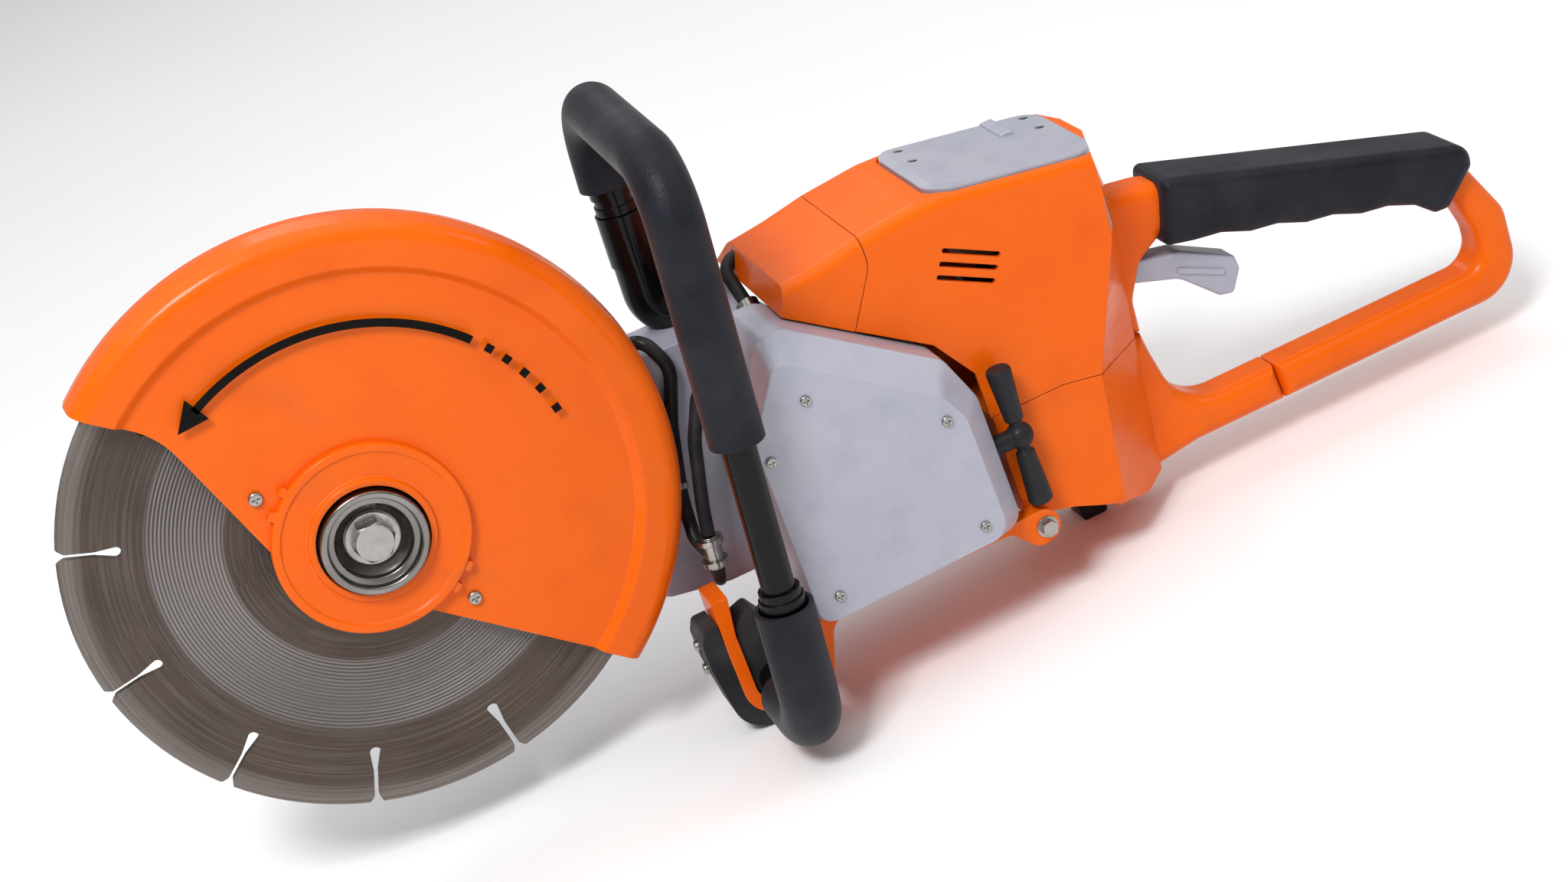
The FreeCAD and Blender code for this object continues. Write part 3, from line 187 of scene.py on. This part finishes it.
def printed_patch(mesh, corners):
    """A thin closed slab on the guard's face over the outline (radius, degrees)."""
    front = [mesh.verts.new(on_guard(r, a, ARROW_FACE_Y - ARROW_T)) for r, a in corners]
    back = [mesh.verts.new(on_guard(r, a, ARROW_FACE_Y)) for r, a in corners]
    mesh.faces.new(front)
    mesh.faces.new(back[::-1])
    for i in range(len(corners)):
        j = (i + 1) % len(corners)
        mesh.faces.new((front[j], front[i], back[i], back[j]))


def arc_corners(start, end, half, steps):
    turn = [start + (end - start) * i / steps for i in range(steps + 1)]
    return [(ARROW_R - half, a) for a in turn] + [(ARROW_R + half, a) for a in turn[::-1]]


def mesh_piece(name, mesh, material):
    """Puts finished bmesh geometry into the scene as one piece."""
    bmesh.ops.recalc_face_normals(mesh, faces=mesh.faces)
    data = bpy.data.meshes.new(name)
    mesh.to_mesh(data)
    mesh.free()
    piece = bpy.data.objects.new(name, data)
    bpy.context.collection.objects.link(piece)
    data.materials.append(material)
    return piece


ink = Finish("arrow_ink", Specular_IOR_Level=0.05)
ink.colour(ink.blend(ink.noise(60.0, 4.0), (0.004, 0.004, 0.004, 1.0), (0.010, 0.009, 0.008, 1.0)))
ink.roughness(ink.spread(ink.noise(90.0, 4.0), 0.3, 0.7, 0.35, 0.6))
ink.bump(ink.noise(700.0, 2.0), 0.00004, 0.5)
arrow_mesh = bmesh.new()
printed_patch(arrow_mesh, arc_corners(*ARROW_SHAFT, ARROW_HALF, SHAFT_STEPS))
barbs = [(ARROW_R - ARROW_HEAD_HALF, ARROW_BARBS), (ARROW_R + ARROW_HEAD_HALF, ARROW_BARBS)]
printed_patch(arrow_mesh, [(ARROW_R, ARROW_TIP)] + barbs)
for dash in ARROW_DASHES:
    corners = arc_corners(dash - DASH_SPAN / 2, dash + DASH_SPAN / 2, ARROW_HALF, DASH_STEPS)
    printed_patch(arrow_mesh, corners)
arrow = mesh_piece("rotation_arrow", arrow_mesh, ink.material)
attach(arrow, "guard")


# ------------------------------------------------------------------ casings
# The shrouds, tank and rear handle are injection-moulded in orange plastic with a fine
# spark-eroded grain.  They are less shiny than the enamel, and the corners that knock
# against things have paled.
moulded_orange = orange_finish("moulded_orange", 0.00008, 0.35, 0.15)
dress(moulded_orange, "front_shroud", "upper_shroud", "rear_housing", "rear_handle")
dress(enamel, "foot_bracket", "base_skid")


# ------------------------------------------------------------------ cutting disc
# The disc is a steel core with a worn cutting rim, dark from heat and dust.  Its face
# is turned in fine rings, brightest in a band that rubs on the work, and grit has
# scored it along the direction in which it turns.
RING_PITCH = 0.0019
BRIGHT_BAND = (0.0716, 0.107)
RIM_RUBBED = 0.138
RIM_FADE = 0.006


def wheel_radius(finish):
    """Distance from the blade's axis, and the angle round it."""
    offset = finish.node("ShaderNodeVectorMath", {0: finish.place, 1: hub}, operation="SUBTRACT")
    axes = finish.node("ShaderNodeSeparateXYZ", {"Vector": offset.outputs["Vector"]})
    flat = finish.node("ShaderNodeCombineXYZ", {"X": axes.outputs["X"], "Y": axes.outputs["Z"]})
    distance = finish.node("ShaderNodeVectorMath", {0: flat.outputs["Vector"]}, operation="LENGTH")
    angle = finish.maths("ARCTAN2", axes.outputs["Z"], axes.outputs["X"])
    return distance.outputs["Value"], angle


disc = Finish("disc_face", Metallic=0.85, Anisotropic=0.4)
away, round_angle = wheel_radius(disc)
rings = disc.maths("SINE", disc.maths("MULTIPLY", away, 2 * math.pi / RING_PITCH))
in_band = disc.maths("MULTIPLY", disc.spread(away, BRIGHT_BAND[0] - 0.002, BRIGHT_BAND[0] + 0.001),
                     disc.spread(away, BRIGHT_BAND[1] + 0.002, BRIGHT_BAND[1] - 0.001))
swept = disc.node("ShaderNodeCombineXYZ", {"X": disc.maths("MULTIPLY", away, 700.0),
                                           "Y": disc.maths("MULTIPLY", round_angle, 1.6)}).outputs["Vector"]
scores = disc.node("ShaderNodeTexNoise", {"Vector": swept, "Scale": 1.0, "Detail": 5.0}).outputs["Fac"]
scale = disc.blend(disc.noise(26.0, 6.0), (0.065, 0.048, 0.038, 1.0), (0.13, 0.10, 0.082, 1.0))
scale = disc.blend(disc.spread(scores, 0.45, 0.8, 0.0, 0.5), scale, (0.30, 0.26, 0.24, 1.0))
polished = disc.blend(disc.spread(rings, -1.0, 1.0), (0.10, 0.085, 0.08, 1.0), (0.34, 0.32, 0.32, 1.0))
face = disc.blend(disc.maths("MULTIPLY", in_band, 0.85), scale, polished)
outermost = disc.spread(away, RIM_RUBBED, RIM_RUBBED + RIM_FADE)
rubbed_rim = disc.maths("MULTIPLY", outermost, disc.spread(scores, 0.3, 0.7, 0.2, 0.7))
disc.colour(disc.blend(rubbed_rim, face, (0.34, 0.31, 0.29, 1.0)))
matt = disc.spread(scores, 0.2, 0.8, 0.5, 0.72)
disc.roughness(disc.maths("SUBTRACT", matt, disc.maths("MULTIPLY", in_band, 0.22)))
disc.bump(disc.maths("ADD", disc.maths("MULTIPLY", rings, 0.35), scores), 0.00012, 0.8, rounding=0.0005)
dress(disc.material, "cutting_disc")


# ------------------------------------------------------------------ flange and spindle
# The clamping flange, the spindle and the other shafts are turned from bar.  The lathe
# leaves fine rings and a bright, slightly smeared face, with dust in the corners.
LATHE_PITCH = 0.0007
turned = Finish("turned_steel", Metallic=1.0, Anisotropic=0.5)
from_axis = wheel_radius(turned)[0]
lathe_rings = turned.maths("SINE", turned.maths("MULTIPLY", from_axis, 2 * math.pi / LATHE_PITCH))
dusty = turned.spread(turned.noise(40.0, 5.0), 0.3, 0.75)
turned.colour(turned.blend(dusty, (0.30, 0.285, 0.27, 1.0), (0.17, 0.16, 0.15, 1.0)))
turned.roughness(turned.spread(turned.noise(75.0, 5.0), 0.3, 0.75, 0.16, 0.30))
lathe_marks = turned.maths("MULTIPLY", lathe_rings, 0.5)
turned.bump(turned.maths("ADD", lathe_marks, turned.noise(500.0)), 0.00002, 0.35, rounding=0.0004)
dress(turned.material, "outer_flange", "inner_flange", "spindle", "ball_bearings", "crankshaft", "reel_post",
      "trigger_pin", "recoil_spring")


# ------------------------------------------------------------------ plated fasteners
# Screws, the blade bolt, the hose clamps and the plug are zinc plated.  The plating is
# bright on the flats and dull where a key has turned in it.  The lid's screws and the
# muffler are blackened steel instead.
zinc = Finish("zinc_plating", Metallic=1.0)
zinc.colour(zinc.blend(zinc.noise(120.0, 4.0), (0.46, 0.45, 0.43, 1.0), (0.28, 0.27, 0.25, 1.0)))
zinc.roughness(zinc.spread(zinc.noise(240.0, 4.0), 0.3, 0.7, 0.16, 0.36))
zinc.bump(zinc.noise(800.0, 2.0), 0.00004, 0.6, rounding=0.0004)
dress(zinc.material, "blade_bolt", "arm_screws", "foot_screws", "lug_bolt", "hose_fittings", "spark_plug",
      "guard_screws", "cover_screws")

blackened = Finish("blackened_steel", Metallic=0.8)
scuffs = blackened.noise(150.0, 4.0)
blackened.colour(blackened.blend(scuffs, (0.045, 0.043, 0.045, 1.0), (0.11, 0.10, 0.095, 1.0)))
blackened.roughness(blackened.spread(blackened.noise(200.0, 4.0), 0.3, 0.7, 0.34, 0.55))
blackened.bump(blackened.noise(650.0, 2.0), 0.00005, 0.6, rounding=0.0004)
dress(blackened.material, "lid_screws", "muffler")


# ------------------------------------------------------------------ grey casings
# The fan housing, starter cover, filter lid and trigger are moulded in a cool silver
# grey with a soft sheen.  The grain is fine, the high edges are polished, and dust
# lies on the skin in clouds.
GREY = (0.36, 0.365, 0.45, 1.0)
GREY_DUSTY = (0.43, 0.43, 0.49, 1.0)
GREY_DEEP = (0.24, 0.245, 0.31, 1.0)


def grey_finish(name, grain, grain_depth, low, high, coat, metallic):
    """Silver grey skin with clouds of dust, rubbed edges and moulded or cast grain."""
    grey = Finish(name, Coat_Weight=coat, Coat_Roughness=0.25, Metallic=metallic)
    body = grey.blend(grey.spread(grey.noise(12.0, 4.0), 0.3, 0.75), GREY, GREY_DUSTY)
    body = grey.blend(grey.spread(grey.noise(45.0, 6.0), 0.5, 0.85, 0.0, 0.5), body, GREY_DEEP)
    patchy = grey.spread(grey.noise(80.0, 4.0), 0.35, 0.6, 0.0, 0.6)
    rubbed = grey.maths("MULTIPLY", grey.edges(0.001), patchy)
    grey.colour(grey.blend(rubbed, body, (0.58, 0.58, 0.61, 1.0)))
    grey.roughness(grey.spread(grey.noise(28.0, 6.0), 0.3, 0.75, low, high))
    grey.bump(grey.noise(grain, 3.0), grain_depth, 0.6, rounding=0.0008)
    return grey.material


moulded_grey = grey_finish("moulded_grey", 1100.0, 0.00008, 0.30, 0.46, 0.2, 0.1)
dress(moulded_grey, "fan_housing", "starter_cover", "filter_lid", "throttle_trigger")


# ------------------------------------------------------------------ belt arm
# The arm that carries the blade is a die casting, shot-blasted and painted silver grey.
# The blasting shows as a coarser orange-peel, and the paint is rubbed to bright metal
# along the ribs.
painted_casting = grey_finish("painted_casting", 520.0, 0.00016, 0.38, 0.58, 0.1, 0.35)
dress(painted_casting, "belt_arm", "belt_cover")


# ------------------------------------------------------------------ engine castings
# Crankcase, cylinder, carburettor, pulley and flywheel are bare aluminium as it leaves
# the mould, with a sandy skin and oil stains.  The clutch is iron, brown from heat.
cast = Finish("bare_casting", Metallic=0.9)
stains = cast.spread(cast.noise(35.0, 6.0), 0.45, 0.8, 0.0, 0.7)
cast.colour(cast.blend(stains, (0.50, 0.50, 0.50, 1.0), (0.20, 0.18, 0.16, 1.0)))
cast.roughness(cast.spread(cast.noise(60.0, 5.0), 0.3, 0.7, 0.42, 0.62))
cast.bump(cast.noise(620.0, 4.0), 0.0002, 0.7, rounding=0.0006)
dress(cast.material, "crankcase", "cylinder", "carburettor", "spindle_pulley", "flywheel_fan")

lining = Finish("clutch_iron", Metallic=0.6)
lining.colour(lining.blend(lining.noise(90.0, 6.0), (0.14, 0.12, 0.11, 1.0), (0.26, 0.24, 0.22, 1.0)))
lining.roughness(lining.spread(lining.noise(150.0, 4.0), 0.3, 0.7, 0.5, 0.75))
lining.bump(lining.noise(700.0, 3.0), 0.00015, 0.7)
dress(lining.material, "clutch_shoes", "clutch_drum")


# ------------------------------------------------------------------ filter pad
# The air filter is pleated paper under a fleece, cream when new and brown where air
# enters.
pleat = Finish("filter_paper", Sheen_Weight=0.3)
pleat.colour(pleat.blend(pleat.noise(30.0, 5.0), (0.62, 0.56, 0.42, 1.0), (0.42, 0.35, 0.24, 1.0)))
pleat.roughness(pleat.spread(pleat.noise(200.0, 4.0), 0.3, 0.7, 0.8, 0.95))
pleat.bump(pleat.noise(420.0, 4.0, (6.0, 0.3, 1.0)), 0.0005, 0.9)
dress(pleat.material, "air_filter")


# ------------------------------------------------------------------ grips
# Grip covers are soft blue-black rubber.  The mould is textured with a fine pebble, and
# palms have polished the crowns, so the sheen comes and goes along the grip.
GRIP_BLACK = (0.010, 0.011, 0.016, 1.0)
GRIP_BLOOM = (0.024, 0.026, 0.034, 1.0)
PAD_BLACK = (0.016, 0.016, 0.019, 1.0)
PAD_BLOOM = (0.055, 0.052, 0.052, 1.0)


def rubber_finish(name, dark, light, pebble, depth, low, high):
    """Moulded rubber: pebbled skin, grey bloom, polished crowns."""
    rubber = Finish(name, Sheen_Weight=0.05, Sheen_Roughness=0.5, Specular_IOR_Level=0.12)
    bloom = rubber.spread(rubber.noise(34.0, 6.0), 0.4, 0.8)
    rubber.colour(rubber.blend(bloom, dark, light))
    rubber.roughness(rubber.spread(rubber.noise(20.0, 5.0), 0.3, 0.75, low, high))
    cells = {"Vector": rubber.place, "Scale": pebble}
    pebbles = rubber.node("ShaderNodeTexVoronoi", cells, feature="SMOOTH_F1")
    rubber.bump(pebbles.outputs["Distance"], depth, 0.8, rounding=0.0007)
    return rubber.material


grip_rubber = rubber_finish("grip_rubber", GRIP_BLACK, GRIP_BLOOM, 620.0, 0.00022, 0.38, 0.58)
dress(grip_rubber, "rear_grip", "upper_sleeve", "lower_sleeve")
pad_rubber = rubber_finish("pad_rubber", PAD_BLACK, PAD_BLOOM, 380.0, 0.0003, 0.52, 0.74)
dress(pad_rubber, "foot_pad", "tube_bush", "rear_foot", "intake_boot", "drive_belt")


# ------------------------------------------------------------------ hoses
# Water hoses are smooth extruded rubber with a light bloom, gripped by plated clamps.
hose = Finish("hose_rubber", Coat_Weight=0.12, Coat_Roughness=0.25, Specular_IOR_Level=0.12)
powdery = hose.spread(hose.noise(50.0, 5.0), 0.4, 0.8)
hose.colour(hose.blend(powdery, (0.010, 0.010, 0.012, 1.0), (0.040, 0.038, 0.038, 1.0)))
hose.roughness(hose.spread(hose.noise(80.0, 5.0), 0.3, 0.7, 0.32, 0.5))
hose.bump(hose.noise(500.0, 3.0), 0.00006, 0.6)
dress(hose.material, "feed_hose", "guard_hoses")


# ------------------------------------------------------------------ starter
# The pull grip, the reel and the filler cap are glass-filled black plastic with a fine
# matt grain; the rope is a braided cord.
black = Finish("black_plastic", Coat_Weight=0.05, Specular_IOR_Level=0.15)
black.colour(black.blend(black.noise(45.0, 5.0), (0.009, 0.009, 0.011, 1.0), (0.026, 0.026, 0.030, 1.0)))
black.roughness(black.spread(black.noise(70.0, 5.0), 0.3, 0.7, 0.38, 0.56))
black.bump(black.noise(800.0, 3.0), 0.0001, 0.7, rounding=0.0007)
dress(black.material, "starter_grip", "starter_reel", "fuel_cap", "rope_bush")

cord = Finish("braided_cord", Sheen_Weight=0.3)
strands = cord.noise(500.0, 3.0, (1.0, 6.0, 6.0))
cord.colour(cord.blend(strands, (0.62, 0.60, 0.55, 1.0), (0.36, 0.34, 0.30, 1.0)))
cord.roughness(cord.spread(cord.noise(300.0, 3.0), 0.3, 0.7, 0.75, 0.92))
cord.bump(cord.noise(900.0, 3.0, (1.0, 4.0, 4.0)), 0.0002, 0.9)
dress(cord.material, "starter_rope")


# ------------------------------------------------------------------ handle tube
# The front handle is a bent steel tube in thick gloss black enamel, chipped a little
# where it meets the clamps.
tube = Finish("black_enamel", Coat_Weight=0.15, Coat_Roughness=0.08, Specular_IOR_Level=0.12)
chips = tube.spread(tube.noise(110.0, 6.0), 0.72, 0.78, 0.0, 0.4)
tube.colour(tube.blend(chips, (0.003, 0.003, 0.0035, 1.0), (0.06, 0.055, 0.05, 1.0)))
tube.roughness(tube.spread(tube.noise(30.0, 5.0), 0.3, 0.75, 0.16, 0.34))
tube.bump(tube.noise(260.0, 3.0), 0.00008, 0.5, rounding=0.0006)
dress(tube.material, "handle_tube", "handle_arm", "handle_boots")


# ------------------------------------------------------------------ studio
# The saw stands on a plain pale floor.  The key light is above and in front, two weaker
# ones stand at the side and behind, and a broad panel overhead keeps the shadows open.
FLOOR_HALF = 9.0
WORLD_STRENGTH = 0.34
KEY_SIZE = 0.7
KEY_POWER = 54.0
FILL_POWER = 4.0
CEILING_SIZE = 4.5
CEILING_POWER = 72.0
KEY_PLACE = (-0.9, -1.5, 2.3)
FILL_PLACE = (1.8, -0.6, 1.5)
BACK_PLACE = (0.2, 1.9, 1.7)
CEILING_PLACE = (0.0, 0.2, 3.2)

floor_mesh = bmesh.new()
bmesh.ops.create_grid(floor_mesh, x_segments=4, y_segments=4, size=FLOOR_HALF)
floor_look = Finish("pale_floor")
mottle = floor_look.noise(1.4, 3.0)
floor_look.colour(floor_look.blend(mottle, (0.86, 0.86, 0.87, 1.0), (0.90, 0.90, 0.905, 1.0)))
floor_look.roughness(floor_look.spread(floor_look.noise(3.0, 3.0), 0.3, 0.7, 0.75, 0.9))
floor = mesh_piece("studio_floor", floor_mesh, floor_look.material)

world = bpy.data.worlds.new("studio_air")
world.use_nodes = True
world.node_tree.nodes["Background"].inputs["Color"].default_value = (1.0, 1.0, 1.0, 1.0)
world.node_tree.nodes["Background"].inputs["Strength"].default_value = WORLD_STRENGTH
bpy.context.scene.world = world
bpy.context.scene.view_settings.view_transform = "Standard"


def soft_light(name, place, aim, size, power):
    """A square light panel that faces the aim."""
    data = bpy.data.lights.new(name, "AREA")
    data.size = size
    data.energy = power
    panel = bpy.data.objects.new(name, data)
    panel.location = place
    panel.rotation_euler = (aim - Vector(place)).to_track_quat("-Z", "Y").to_euler()
    bpy.context.collection.objects.link(panel)


middle = (Vector(cad_bounds[0]) + Vector(cad_bounds[1])) / 2
soft_light("key_panel", KEY_PLACE, middle, KEY_SIZE, KEY_POWER)
soft_light("fill_panel", FILL_PLACE, middle, KEY_SIZE, FILL_POWER)
soft_light("back_panel", BACK_PLACE, middle, KEY_SIZE, FILL_POWER)
soft_light("ceiling_panel", CEILING_PLACE, middle, CEILING_SIZE, CEILING_POWER)


# ------------------------------------------------------------------ camera
# A longish lens looks down on the saw's near side from ahead of its middle, and is
# turned a little about its own line of sight.
EYE = Vector((-0.270, -1.2987, 0.728))
SIGHT = Vector((0.164, 0.898, -0.409)).normalized()
RIGHT = Vector((0.894, -0.310, -0.323))
FOCAL_LENGTH = 65.18
SENSOR_WIDTH = 36.0
across = (RIGHT - RIGHT.project(SIGHT)).normalized()
upward = across.cross(SIGHT)
lens = bpy.data.cameras.new("studio_camera")
lens.lens = FOCAL_LENGTH
lens.sensor_width = SENSOR_WIDTH
camera = bpy.data.objects.new("studio_camera", lens)
camera.matrix_world = Matrix.Translation(EYE) @ Matrix((across, upward, -SIGHT)).transposed().to_4x4()
bpy.context.collection.objects.link(camera)
bpy.context.scene.camera = camera
